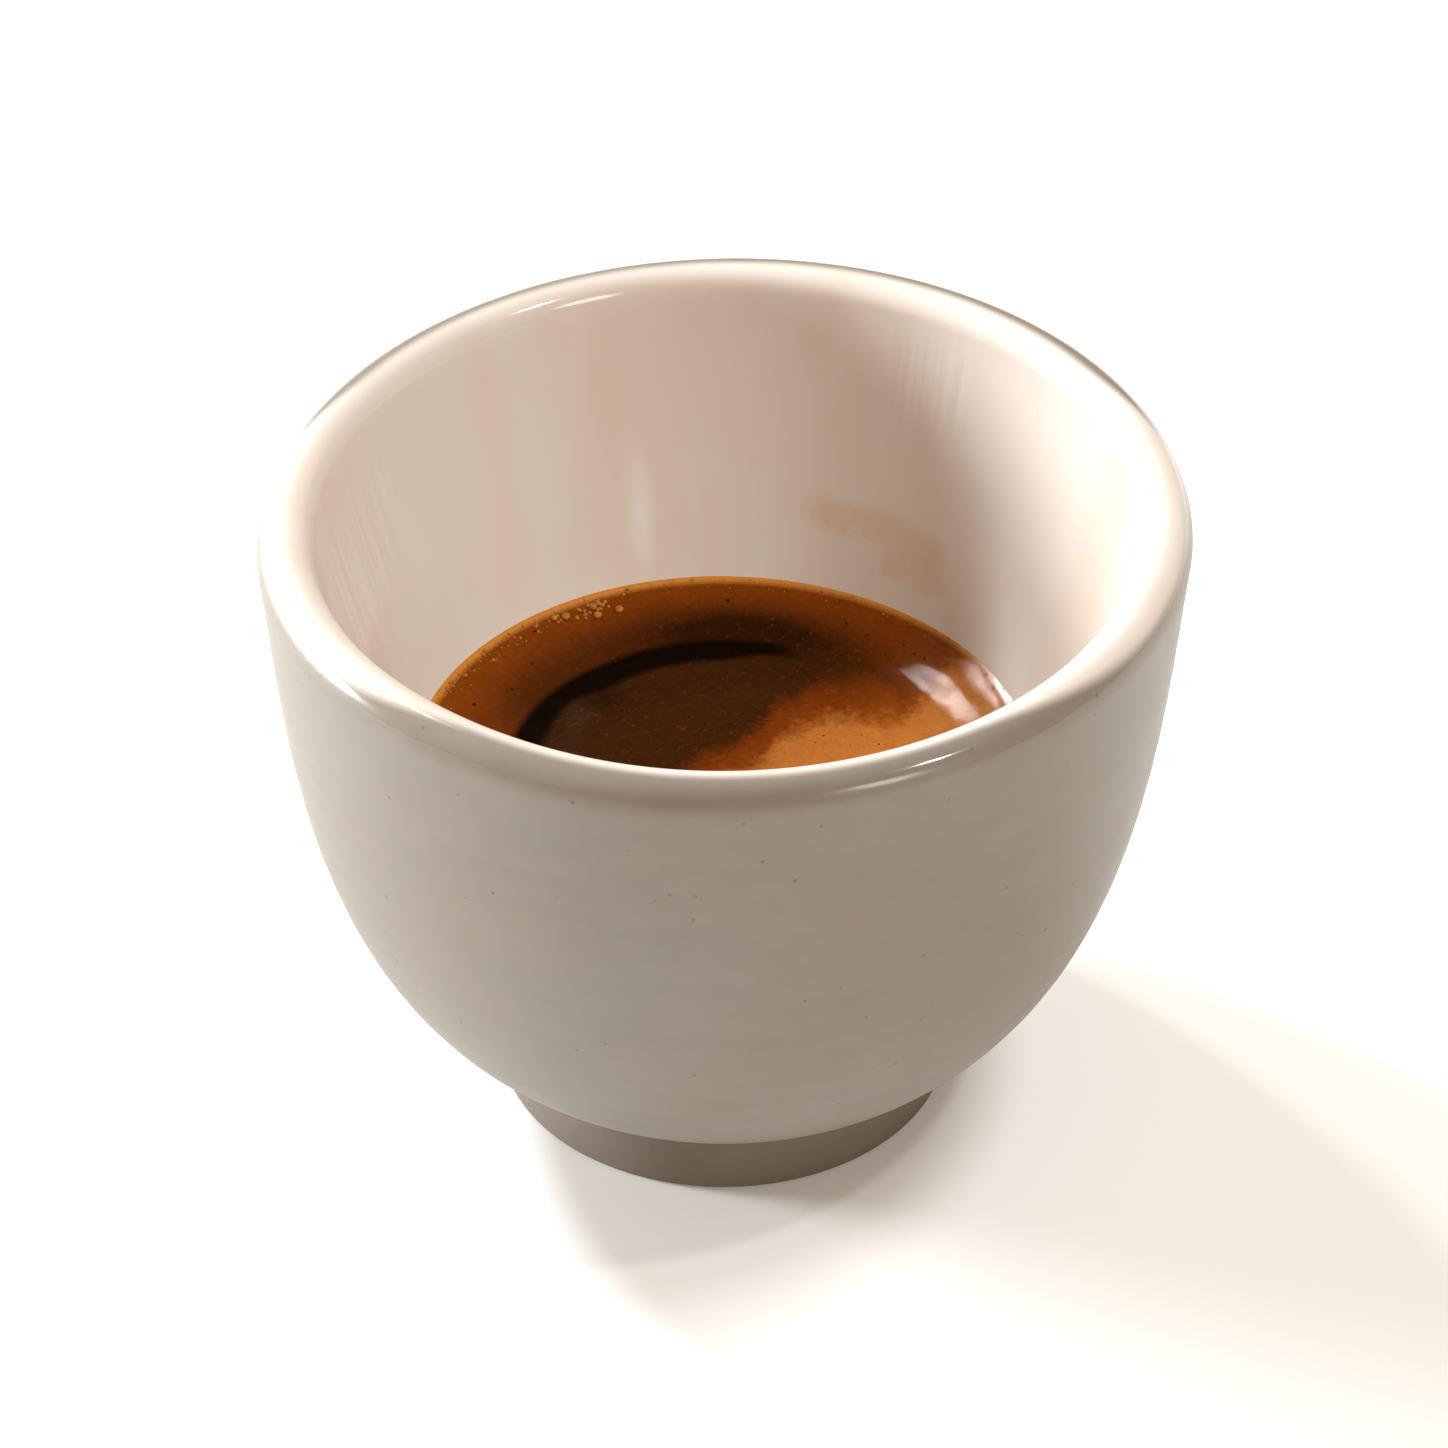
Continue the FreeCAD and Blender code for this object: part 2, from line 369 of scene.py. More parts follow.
# %% [markdown]
# ## Glazed stoneware
#
# Stoneware is clay fired until it is hard and dense, under a glaze, a thin
# coat of glass. This one is off-white. Outside it dried to a satin skin with
# faint brush marks, greyer than the thick shiny coat on the lip and inside.
# Iron in the clay bled through as small brown specks. A potter wipes the foot
# clean, so there the bare clay shows, dull and darker.
#
# Glass has an IOR near 1.5. The gloss is set by the roughness: 0.12 on the
# rim and inside, and about 0.45 outside. The white coat ends on top of the
# lip. Towards the front, at the left and right, the white is painted further
# down over the lip: painted light, where the lip catches the lamps.
# Patterns are measured in object space, so the scale of a noise is one over
# its size in metres.

# %% Stoneware: glaze
GLAZE = linear("867F76")
GLAZE_WARM = linear("81786C")
GLAZE_INSIDE = linear("D5CEC6")
GLAZE_PEACH = linear("D0BFAE")
LIT_LIP_FROM = 18 * MM       # how far to either side the lip starts to be painted lighter, as painted light
LIT_LIP_FULLY = 34 * MM
LIT_LIP_SHARE = 0.3          # of the way round the lip
COAT_STARTS = 0.46          # share of the way round the lip, from the outside
COAT_FULL = 0.62
stoneware, stoneware_shader = new_material("glazed_stoneware", ior=1.5)
place = add(stoneware, "ShaderNodeTexCoord", output="Object")
height = add(stoneware, "ShaderNodeSeparateXYZ", {"Vector": place}, output="Z")
sideways = height.node.outputs["X"]
depth = height.node.outputs["Y"]
inside_share = add(stoneware, "ShaderNodeAttribute", output="Fac", attribute_name="inside")
beside = add(stoneware, "ShaderNodeMath", {0: sideways}, operation="ABSOLUTE")
# Painted light: towards the front, at the left and right, the white is painted further down over the
# lip, where the lip catches the lamps.
lit_lip_sides = add(stoneware, "ShaderNodeMapRange",
                  {"Value": beside, "From Min": LIT_LIP_FROM, "From Max": LIT_LIP_FULLY,
                   "To Max": LIT_LIP_SHARE}, interpolation_type="SMOOTHSTEP")
in_front = add(stoneware, "ShaderNodeMapRange",
               {"Value": depth, "From Min": 20 * MM, "From Max": 5 * MM},
               interpolation_type="SMOOTHSTEP")
reach = add(stoneware, "ShaderNodeMath", {0: lit_lip_sides, 1: in_front, 2: inside_share},
            operation="MULTIPLY_ADD")
is_inside = add(stoneware, "ShaderNodeMapRange",
                {"Value": reach, "From Min": COAT_STARTS, "From Max": COAT_FULL},
                interpolation_type="SMOOTHSTEP")
is_glossy = add(stoneware, "ShaderNodeMapRange",
                {"Value": inside_share, "From Min": 0.0, "From Max": 0.35},
                interpolation_type="SMOOTHSTEP")
cloud = add(stoneware, "ShaderNodeTexNoise",
            {"Vector": place, "Scale": per_metre(16), "Detail": 4.0, "Roughness": 0.55})
outside = add(stoneware, "ShaderNodeMix", {"Factor": cloud, "A": GLAZE, "B": GLAZE_WARM},
              data_type="RGBA")
flattened = add(stoneware, "ShaderNodeMapping", {"Vector": place, "Scale": (1.0, 1.0, 2.5)})
brushing = add(stoneware, "ShaderNodeTexNoise",
               {"Vector": flattened, "Scale": per_metre(7), "Detail": 6.0, "Roughness": 0.6})
brush_tone = add(stoneware, "ShaderNodeMapRange",
                 {"Value": brushing, "From Min": 0.3, "From Max": 0.7,
                  "To Min": 0.93, "To Max": 1.05})
outside = add(stoneware, "ShaderNodeMix", {"Factor": 1.0, "A": outside, "B": brush_tone},
              data_type="RGBA", blend_type="MULTIPLY")
tall = add(stoneware, "ShaderNodeMapping", {"Vector": place, "Scale": (1.0, 1.0, 0.25)})
wash = add(stoneware, "ShaderNodeTexNoise",
           {"Vector": tall, "Scale": per_metre(14), "Detail": 3.0})
peach = add(stoneware, "ShaderNodeMapRange",
            {"Value": wash, "From Min": 0.38, "From Max": 0.72, "To Max": 0.6},
            interpolation_type="SMOOTHSTEP")
inner = add(stoneware, "ShaderNodeMix",
            {"Factor": peach, "A": GLAZE_INSIDE, "B": GLAZE_PEACH}, data_type="RGBA")
print("glaze colours ready")

# %% [markdown]
# ## What the last coffees left
#
# A cup in use isn't spotless. Where the drink swung up, it left a pale brown
# stain on the back wall, and drips dried to faint upright streaks near the
# lip. Each lies in a soft-edged window of height and width. A noise frays the
# stain, and a noise stretched upright along the wall draws the streaks.

# %% Stoneware: stain and streaks
COFFEE_STAIN = linear("C9AD90")
BACK = 60 * MM              # further back than any part of the cup
LEFT_STAIN = (8.0 * MM, 16.0 * MM)              # measured to the right of the axis
LEFT_STAIN_HEIGHT = (36.0 * MM, 38.8 * MM)
RIGHT_STAIN = (14.0 * MM, 19.1 * MM)
RIGHT_STAIN_HEIGHT = (33.6 * MM, 38.2 * MM)
RIGHT_DRIPS = (14 * MM, 20.5 * MM)
RIGHT_DRIPS_HEIGHT = (46 * MM, 53 * MM)
LEFT_DRIPS = (-32 * MM, -27.5 * MM)
LEFT_DRIPS_HEIGHT = (38 * MM, 50 * MM)
DRIP_STRETCH = 0.06         # a streak is about one over this as tall as wide
fray = add(stoneware, "ShaderNodeTexNoise",
           {"Vector": place, "Scale": per_metre(2.5), "Detail": 5.0, "Roughness": 0.6})
frayed_height = add(stoneware, "ShaderNodeMath", {0: fray, 1: 2.6 * MM, 2: height},
                    operation="MULTIPLY_ADD")
frayed_side = add(stoneware, "ShaderNodeMath", {0: fray, 1: 1.2 * MM, 2: sideways},
                  operation="MULTIPLY_ADD")


def window(material, value, span, soft):
    """1 within a span and 0 outside it, with soft edges."""
    low, high = span
    up = add(material, "ShaderNodeMapRange",
             {"Value": value, "From Min": low - soft, "From Max": low + soft},
             interpolation_type="SMOOTHSTEP")
    down = add(material, "ShaderNodeMapRange",
               {"Value": value, "From Min": high + soft, "From Max": high - soft},
               interpolation_type="SMOOTHSTEP")
    return add(material, "ShaderNodeMath", {0: up, 1: down}, operation="MULTIPLY")


def all_of(material, *masks):
    """The product of several masks."""
    result = masks[0]
    for mask in masks[1:]:
        result = add(material, "ShaderNodeMath", {0: result, 1: mask}, operation="MULTIPLY")
    return result


at_back = window(stoneware, depth, (0.0, BACK), 1 * MM)
stain_left = all_of(stoneware, window(stoneware, frayed_side, LEFT_STAIN, 1.5 * MM),
                    window(stoneware, frayed_height, LEFT_STAIN_HEIGHT, 0.7 * MM))
stain_right = all_of(stoneware, window(stoneware, frayed_side, RIGHT_STAIN, 0.6 * MM),
                     window(stoneware, frayed_height, RIGHT_STAIN_HEIGHT, 0.8 * MM))
stain = add(stoneware, "ShaderNodeMath", {0: stain_left, 1: stain_right},
            operation="MAXIMUM")
stain_depth = add(stoneware, "ShaderNodeMapRange",
                  {"Value": fray, "From Min": 0.3, "From Max": 0.7, "To Min": 0.25,
                   "To Max": 0.75})
stain = all_of(stoneware, stain, at_back, stain_depth, is_inside)
inner = add(stoneware, "ShaderNodeMix", {"Factor": stain, "A": inner, "B": COFFEE_STAIN},
            data_type="RGBA")
turn_round = add(stoneware, "ShaderNodeMath", {0: depth, 1: sideways}, operation="ARCTAN2")
way_round = add(stoneware, "ShaderNodeMath", {0: turn_round, 1: RIM_RADIUS},
                operation="MULTIPLY")
squashed_height = add(stoneware, "ShaderNodeMath", {0: height, 1: DRIP_STRETCH},
                      operation="MULTIPLY")
upright = add(stoneware, "ShaderNodeCombineXYZ", {"X": way_round, "Y": squashed_height})
drips = add(stoneware, "ShaderNodeTexNoise",
            {"Vector": upright, "Scale": per_metre(1.0), "Detail": 3.0})
right_drips = all_of(stoneware, window(stoneware, sideways, RIGHT_DRIPS, 0.8 * MM),
                     window(stoneware, height, RIGHT_DRIPS_HEIGHT, 2.5 * MM), at_back)
left_drips = all_of(stoneware, window(stoneware, sideways, LEFT_DRIPS, 0.5 * MM),
                    window(stoneware, height, LEFT_DRIPS_HEIGHT, 3 * MM))
drip_area = add(stoneware, "ShaderNodeMath", {0: right_drips, 1: left_drips},
                operation="MAXIMUM")
drip_area = all_of(stoneware, drip_area, is_inside)
drip_tone = add(stoneware, "ShaderNodeMapRange",
                {"Value": drips, "From Min": 0.35, "From Max": 0.65, "To Min": 0.95,
                 "To Max": 1.06})
drip_tone = add(stoneware, "ShaderNodeMix", {"Factor": drip_area, "A": 1.0, "B": drip_tone})
inner = add(stoneware, "ShaderNodeMix", {"Factor": 1.0, "A": inner, "B": drip_tone},
            data_type="RGBA", blend_type="MULTIPLY")
coat = add(stoneware, "ShaderNodeMix", {"Factor": is_inside, "A": outside, "B": inner},
           data_type="RGBA")
print("glaze so far:", len(stoneware.node_tree.nodes), "nodes")

# %% [markdown]
# ## Specks and bare clay
#
# A Voronoi texture scatters one point in each cell of a lattice. Close to the
# point lies a speck. Only the few cells whose point happens to lie within the
# skin of the cup show one, so the specks come out sparse and uneven, as they
# do in a kiln. The foot's glaze line wavers by a few tenths of a millimetre.

# %% Stoneware: specks, foot and gloss
IRON = linear("5E4838")
RUST = linear("A8703F")
CLAY = linear("7F766B")
CLAY_DARK = linear("746B60")
GLAZE_LINE = 5.6 * MM
GLOSSY = 0.12
BARE_CLAY = 0.85


def specks(material, where, cell_mm, size_mm, kept):
    """A mask of round specks, which only a share of a lattice's cells keep."""
    distance = add(material, "ShaderNodeTexVoronoi",
                   {"Vector": where, "Scale": per_metre(cell_mm)}, output="Distance")
    chance = add(material, "ShaderNodeSeparateColor",
                 {"Color": distance.node.outputs["Color"]}, output="Red")
    rim = size_mm / cell_mm / 2
    near = add(material, "ShaderNodeMapRange",
               {"Value": distance, "From Min": rim, "From Max": rim * 0.5},
               interpolation_type="SMOOTHSTEP")
    keep = add(material, "ShaderNodeMath", {0: chance, 1: kept}, operation="LESS_THAN")
    return all_of(material, near, keep)


on_outside = add(stoneware, "ShaderNodeMath", {0: 1.0, 1: is_inside}, operation="SUBTRACT")
iron_specks = specks(stoneware, place, cell_mm=2.7, size_mm=0.48, kept=0.8)
iron_mask = all_of(stoneware, iron_specks, on_outside)
rust_specks = specks(stoneware, place, cell_mm=4.1, size_mm=0.5, kept=0.5)
rust_mask = all_of(stoneware, rust_specks, on_outside)
coat = add(stoneware, "ShaderNodeMix",
           {"Factor": all_of(stoneware, iron_mask, cloud), "A": coat, "B": IRON},
           data_type="RGBA")
coat = add(stoneware, "ShaderNodeMix", {"Factor": rust_mask, "A": coat, "B": RUST},
           data_type="RGBA")
grit = add(stoneware, "ShaderNodeTexNoise",
           {"Vector": place, "Scale": per_metre(0.8), "Detail": 6.0})
clay = add(stoneware, "ShaderNodeMix", {"Factor": grit, "A": CLAY_DARK, "B": CLAY},
           data_type="RGBA")
wavering_height = add(stoneware, "ShaderNodeMath", {0: cloud, 1: 0.6 * MM, 2: height},
                      operation="MULTIPLY_ADD")
bare = add(stoneware, "ShaderNodeMapRange",
           {"Value": wavering_height, "From Min": GLAZE_LINE + 0.45 * MM,
            "From Max": GLAZE_LINE + 0.2 * MM})
colour = add(stoneware, "ShaderNodeMix", {"Factor": bare, "A": coat, "B": clay},
             data_type="RGBA")
satin = add(stoneware, "ShaderNodeMapRange",
            {"Value": brushing, "From Min": 0.3, "From Max": 0.7, "To Min": 0.4,
             "To Max": 0.5})
rough = add(stoneware, "ShaderNodeMix", {"Factor": is_glossy, "A": satin, "B": GLOSSY})
rough = add(stoneware, "ShaderNodeMix", {"Factor": bare, "A": rough, "B": BARE_CLAY})
relief = add(stoneware, "ShaderNodeMix", {"Factor": bare, "A": brushing, "B": grit})
relief_strength = add(stoneware, "ShaderNodeMix", {"Factor": is_glossy, "A": 0.15, "B": 0.05})
bump = add(stoneware, "ShaderNodeBump",
           {"Height": relief, "Strength": relief_strength, "Distance": 0.1 * MM})
feed(stoneware, stoneware_shader, Base_Color=colour, Roughness=rough, Normal=bump)

cup = new_piece("stoneware_cup", cup_points, cup_faces, stoneware, {"inside": inside})
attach(cup, "root")
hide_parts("cup")

# %% [markdown]
# ## The crema's surface
#
# Crema is the fine foam that a pressed coffee carries. It isn't flat: liquid
# wets the wall and climbs it over a few millimetres, which gives the bright
# edge and the glints. The foam lies thickest in a ring along the wall. Inside
# that ring a narrow crescent has opened where the black coffee shows, and the
# middle is a thin brown veil that thickens to gold on one side. The veil is
# also painted shade where the rim's shadow lies, the gold partly painted light
# where the key reaches, and the ring is painted darker along the back wall.
#
# The relief is worked out as a height for each point of a disc. Seven more
# numbers between 0 and 1 say what the foam is like there, and the material
# mixes its colours and sets its shine by them.

# %% Crema relief
MIDDLE_DROP = 1.8 * MM       # the middle lies this much below the wet edge
CLIMB_LENGTH = 1.8 * MM      # how fast the surface falls away from the wall
FOAM_RISE = 0.35 * MM        # the ring of foam stands this much above the middle
BANK_RISE = 0.45 * MM        # and this much on the right, where it ends in a bank
BANK_SWELL = 0.3 * MM        # which stands this much higher in the middle
BANK_ANGLE = 35.0            # of its length, in degrees round the axis
RING_FOOT, RING_TOP = 15.0 * MM, 23.0 * MM     # where the ring rises, from the axis
BANK_FOOT, BANK_TOP = 19.9 * MM, 23.1 * MM     # and where the bank does
SWIRL_CENTRE = 1.9           # mm behind the axis
CRESCENT_OUTER = 16.9        # the opening's outer edge, mm from the swirl's centre
CRESCENT_INNER = 14.2        # and its inner edge
LATTICE = 64                 # cells before the noise repeats


def step(value, low, high):
    """0 below low, 1 above high and smooth between; it falls where low is above high."""
    t = np.clip((value - low) / (high - low), 0, 1)
    return t * t * (3 - 2 * t)


def lumps(x, y, size, seed):
    """Smooth noise between -1 and 1 whose lumps are about one size apart."""
    table = np.random.default_rng(seed).uniform(-1, 1, (LATTICE, LATTICE))
    u, v = x / size + 100.0, y / size + 100.0
    i, j = np.floor(u).astype(int), np.floor(v).astype(int)
    a, b = step(u - i, 0, 1), step(v - j, 0, 1)
    i, j, i_next, j_next = i % LATTICE, j % LATTICE, (i + 1) % LATTICE, (j + 1) % LATTICE
    near = (1 - a) * table[i, j] + a * table[i_next, j]
    far = (1 - a) * table[i, j_next] + a * table[i_next, j_next]
    return (1 - b) * near + b * far


# %% [markdown]
# ## The swirl
#
# The pour left a pattern that turns round a point a little behind the axis.
# Most of it is made of soft steps in radius and angle, measured from that
# point in millimetres and degrees. The gold foam ends along a line of its own,
# which follows the edge of the rim's shadow: the gold is partly painted light.
# Noise moves most of these edges, so that they look poured and not drawn.

# %% Crema pattern
def polar(x, y):
    """Radius and angle in mm and degrees, round the swirl's centre."""
    xm, ym = x / MM, y / MM - SWIRL_CENTRE
    return xm, ym, np.hypot(xm, ym), np.degrees(np.arctan2(ym, xm)) % 360


def crescent(x, y):
    """1 where the foam has opened and the black coffee shows, 0 elsewhere."""
    xm, ym, r, angle = polar(x, y)
    outer = CRESCENT_OUTER + 0.9 * step(angle, 120, 165) + 0.12 * lumps(xm, ym, 3.5, 5)
    inner = CRESCENT_INNER + 1.5 * step(angle, 95, 66) + 1.1 * step(angle, 130, 148)
    inner = inner + 0.12 * lumps(xm, ym, 3.0, 6)
    ends = step(angle, 62, 76) * step(angle, 215, 190)
    ring = step(r, inner - 0.5, inner + 0.5) * step(r, outer + 0.45, outer - 0.45)
    hook = np.exp(-(((xm + 10.3) / 1.8) ** 2 + ((ym - 9.0) / 1.5) ** 2))
    return np.clip(ring * ends + 0.5 * hook, 0, 1)


# Where the gold foam ends, along the rim's shadow edge, as painted light: mm to the right, and mm
# behind the swirl's centre.
LIT_GOLD_EDGE_X = [-7.0, -1.9, 1.0, 3.2, 4.5, 7.1, 11.0, 14.6, 17.0, 19.0]
LIT_GOLD_EDGE_Y = [-8.0, -2.0, -0.4, 2.4, 4.6, 6.7, 7.7, 7.7, 10.0, 14.0]


def foam_kinds(x, y):
    """How golden and lit, rusty, thin and shaded, shaded by the back wall and wet the foam is, each
    from 0 to 1; the light and the shade are painted.
    """
    xm, ym, r, angle = polar(x, y)
    drift = 0.5 * lumps(xm, ym, 4, 11) + 0.5 * lumps(xm, ym, 1.5, 12) \
        + 0.35 * lumps(xm, ym, 0.55, 13)
    # below is how far the point lies in front of the gold foam's edge, the rim's shadow edge, in mm
    below = (np.interp(xm, LIT_GOLD_EDGE_X, LIT_GOLD_EDGE_Y) - ym) * 0.8 + drift
    # Painted light: the gold is painted lighter past the rim's shadow edge, where the key lights the
    # foam.
    lit_gold = step(below, -0.6, 3.0)
    rust = step(below, -4.4, -0.2) * step(xm, 15, 6)
    bulge = 2.2 * np.exp(-((angle - 42) / 20) ** 2)
    # Painted shade: the thin middle is painted darker on the side where the rim's shadow lies.
    shaded_veil = step(r - bulge + 0.4 * drift, 17.4, 15.4)
    veil_edge = np.exp(-((r - bulge + 0.4 * drift - 16.2) / 0.8) ** 2)
    shaded_veil = shaded_veil * step(xm - 0.4 * ym, 10, -2) + 0.4 * veil_edge * step(xm, 4, 8)
    # Painted shade: the shoulder kind paints the ring darker along the back wall, most of all behind
    # the middle.
    shoulder = 0.74 * step(r, 24.0, 18.0) * step(angle, 20, 60) * step(angle, 185, 150)
    at_back = np.exp(-((angle - 84) / 26) ** 2) * step(r, 24.5, 18.5)
    shoulder = np.clip(shoulder + 0.42 * at_back, 0, 1)
    signed = (angle + 180) % 360 - 180
    wet = step(r, 17.0, 19.0) * step(signed, -60, -30) * step(signed, 50, 40)
    return lit_gold, rust, shaded_veil, shoulder, wet


print(f"17.5 mm behind the axis the black coffee shows by {crescent(0.0, 17.5 * MM):.2f}")

# %% [markdown]
# ## The height of the surface
#
# The liquid clings to the clay, so the surface falls away from the wall as
# fast as a decaying exponential does. The ring and the bank of foam stand on
# it, and noise of three sizes makes it uneven.

# %% Crema height
well_curve = section[first_well:][::-1]


def wall_radius(at_height):
    """Radius of the well at a height."""
    return float(np.interp(at_height, well_curve[:, 1], well_curve[:, 0]))


WET_RADIUS = wall_radius(DRINK_LEVEL)


def crema_height(x, y):
    """Height of the surface at points given in metres."""
    r = np.hypot(x, y)
    angle = np.degrees(np.arctan2(y, x))
    on_right = step(angle, -60, -20) * step(angle, 75, 50)
    ring = FOAM_RISE * step(r, RING_FOOT, RING_TOP)
    swollen = BANK_RISE + BANK_SWELL * np.exp(-((angle - BANK_ANGLE) / 10) ** 2)
    bank = swollen * step(r, BANK_FOOT, BANK_TOP)
    foam = ring + on_right * (bank - ring)
    from_wall = np.maximum(WET_RADIUS - r, 0)
    climb = (MIDDLE_DROP - foam) * np.exp(-from_wall / CLIMB_LENGTH)
    swell = 0.05 * lumps(x, y, 5.5 * MM, 3) + 0.03 * lumps(x, y, 1.8 * MM, 4) \
        + 0.012 * lumps(x, y, 0.8 * MM, 9)
    swell = swell * MM * step(from_wall, 0, 1.5 * MM)
    return DRINK_LEVEL - MIDDLE_DROP + foam + climb + swell


print(f"the wet edge is {2000 * WET_RADIUS:.1f} mm across")

# %% [markdown]
# ## The crema's mesh
#
# A disc of rings carries the relief. A grid would leave a jagged edge along
# the round wall, and rings follow it. The last ring reaches a little into the
# wall, so that no gap of air shows, and a flat underside closes the piece.

# %% Crema mesh
CREMA_SIDES = 384
RING_STEP = 0.22 * MM
INTO_WALL = 0.2 * MM
ring_radii = np.append(np.linspace(0, WET_RADIUS, int(WET_RADIUS / RING_STEP) + 1)[1:],
                       WET_RADIUS + INTO_WALL)
turn = np.linspace(0, 2 * np.pi, CREMA_SIDES, endpoint=False)
grid_x = np.outer(ring_radii, np.cos(turn))
grid_y = np.outer(ring_radii, np.sin(turn))
grid_z = crema_height(grid_x, grid_y)
side_radius = wall_radius(CREMA_UNDERSIDE) + INTO_WALL
crema_points = np.vstack([
    [[0, 0, crema_height(np.zeros(1), np.zeros(1))[0]]],
    np.column_stack([grid_x.ravel(), grid_y.ravel(), grid_z.ravel()]),
    np.column_stack([side_radius * np.cos(turn), side_radius * np.sin(turn),
                     np.full(CREMA_SIDES, CREMA_UNDERSIDE)]),
    [[0, 0, CREMA_UNDERSIDE]],
])


def capped_rings(count, sides):
    """Faces between rings of points, closed by a first and a last point."""
    faces = []
    last = 1 + count * sides
    for side in range(sides):
        beside = (side + 1) % sides
        faces.append((0, 1 + side, 1 + beside))
        for ring in range(count - 1):
            near, far = 1 + ring * sides, 1 + (ring + 1) * sides
            faces.append((near + side, far + side, far + beside, near + beside))
        edge = last - sides
        faces.append((last, edge + beside, edge + side))
    return faces


crema_faces = capped_rings(len(ring_radii) + 1, CREMA_SIDES)
lit_gold, rust, shaded_veil, shoulder, wet = foam_kinds(crema_points[:, 0], crema_points[:, 1])
opened = crescent(crema_points[:, 0], crema_points[:, 1])
EDGE_FROM, EDGE_FULL = 0.65 * MM, 0.2 * MM      # the pale wet edge, from the wall
edge = step(np.hypot(crema_points[:, 0], crema_points[:, 1]),
            WET_RADIUS - EDGE_FROM, WET_RADIUS - EDGE_FULL)
print(f"{len(ring_radii)} rings; the middle lies {1000 * (DRINK_LEVEL - crema_points[0, 2]):.1f} mm "
      "below the wet edge")

# %% [markdown]
# ## Crema
#
# The foam is coffee with oil and tiny bubbles: orange-brown where it is
# thick, gold where there is more of it, and almost black where it has opened.
# Light and shade are painted on top of that: the gold is lighter where the key
# lights it, and the middle and the back of the ring are darker where shadows lie.
# The roughness is about 0.2 and the IOR is that of water, 1.33. Its tiny
# bubbles break the shine up, so the specular level is low, except on the right
# where liquid stands on the foam and glints. A fine noise stands for bubbles
# too small to model, drawn half a millimetre apart so that they still show.
# It also frays the edges of the gold and the rusty foam.

# %% Crema material
CREMA_RING = linear("803E0C")
CREMA_RING_DARK = linear("6E3308")
CREMA_BACK_SHADE = linear("2C1303")
CREMA_LIT_GOLD = linear("9C5D27")
CREMA_SHADED_VEIL = linear("381C04")
CREMA_RUST = linear("6B2F08")
BLACK_COFFEE = linear("0C0300")
CREMA_EDGE = linear("BC7A34")

foam, foam_shader = new_material("crema", ior=1.33)
place = add(foam, "ShaderNodeTexCoord", output="Object")
kind = {name: add(foam, "ShaderNodeAttribute", output="Fac", attribute_name=name)
        for name in ("lit_gold", "rust", "shaded_veil", "shoulder", "opened", "edge", "wet")}
fine = add(foam, "ShaderNodeTexNoise",
           {"Vector": place, "Scale": per_metre(0.5), "Detail": 6.0, "Roughness": 0.7})
broad = add(foam, "ShaderNodeTexNoise",
            {"Vector": place, "Scale": per_metre(4.5), "Detail": 4.0})
tone = add(foam, "ShaderNodeMix", {"Factor": broad, "A": CREMA_RING_DARK, "B": CREMA_RING},
           data_type="RGBA")
for name in ("rust", "lit_gold"):
    grainy = add(foam, "ShaderNodeMath", {0: fine, 1: 0.9, 2: kind[name]},
                 operation="MULTIPLY_ADD")
    kind[name] = add(foam, "ShaderNodeMapRange",
                     {"Value": grainy, "From Min": 0.52, "From Max": 1.38})
# The shoulder kind is painted shade along the back wall; the shaded veil is partly painted shade and
# the lit gold partly painted light.
for name, paint in (("shoulder", CREMA_BACK_SHADE), ("shaded_veil", CREMA_SHADED_VEIL), ("rust", CREMA_RUST),
                    ("lit_gold", CREMA_LIT_GOLD), ("opened", BLACK_COFFEE), ("edge", CREMA_EDGE)):
    tone = add(foam, "ShaderNodeMix", {"Factor": kind[name], "A": tone, "B": paint},
               data_type="RGBA")
froth = add(foam, "ShaderNodeMapRange",
            {"Value": fine, "From Min": 0.3, "From Max": 0.7, "To Min": 0.86, "To Max": 1.12})
tone = add(foam, "ShaderNodeMix", {"Factor": 1.0, "A": tone, "B": froth},
           data_type="RGBA", blend_type="MULTIPLY")
shine = add(foam, "ShaderNodeMapRange", {"Value": kind["wet"], "To Min": 0.05, "To Max": 0.4})
rough = add(foam, "ShaderNodeMapRange", {"Value": kind["wet"], "To Min": 0.22, "To Max": 0.13})
foam_bump = add(foam, "ShaderNodeBump", {"Height": fine, "Strength": 0.35,
                                         "Distance": 0.06 * MM})
feed(foam, foam_shader, Base_Color=tone, Specular_IOR_Level=shine, Roughness=rough,
     Normal=foam_bump)

crema = new_piece("crema_foam", crema_points, crema_faces, foam,
                  {"lit_gold": lit_gold, "rust": rust, "shaded_veil": shaded_veil, "shoulder": shoulder,
                   "opened": opened, "edge": edge, "wet": wet})
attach(crema, "root")
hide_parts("crema")

# %% [markdown]
# ## Bubbles
#
# Two kinds can be told apart with the naked eye. Along the wall, small whole
# bubbles crowd together as glossy domes. Elsewhere a few have burst and left
# a dark pit with a raised lip. Each kind is one piece: a small turned shape,
# repeated wherever a seeded random draw puts it, so that every run gives the
# same coffee.

# %% Bubbles
# Radius and height of each point of the outline, for a bubble of radius 1.
DOME = [(0, -0.3), (0.95, -0.2), (1.0, 0.15), (0.86, 0.5), (0.6, 0.75), (0.3, 0.88), (0, 0.92)]
PIT = [(0, -0.6), (1.0, -0.5), (1.15, 0.0), (1.05, 0.22), (0.9, 0.26), (0.75, 0.16), (0, 0.06)]
BUBBLE_SIDES = 12
bubble_draw = np.random.default_rng(21)


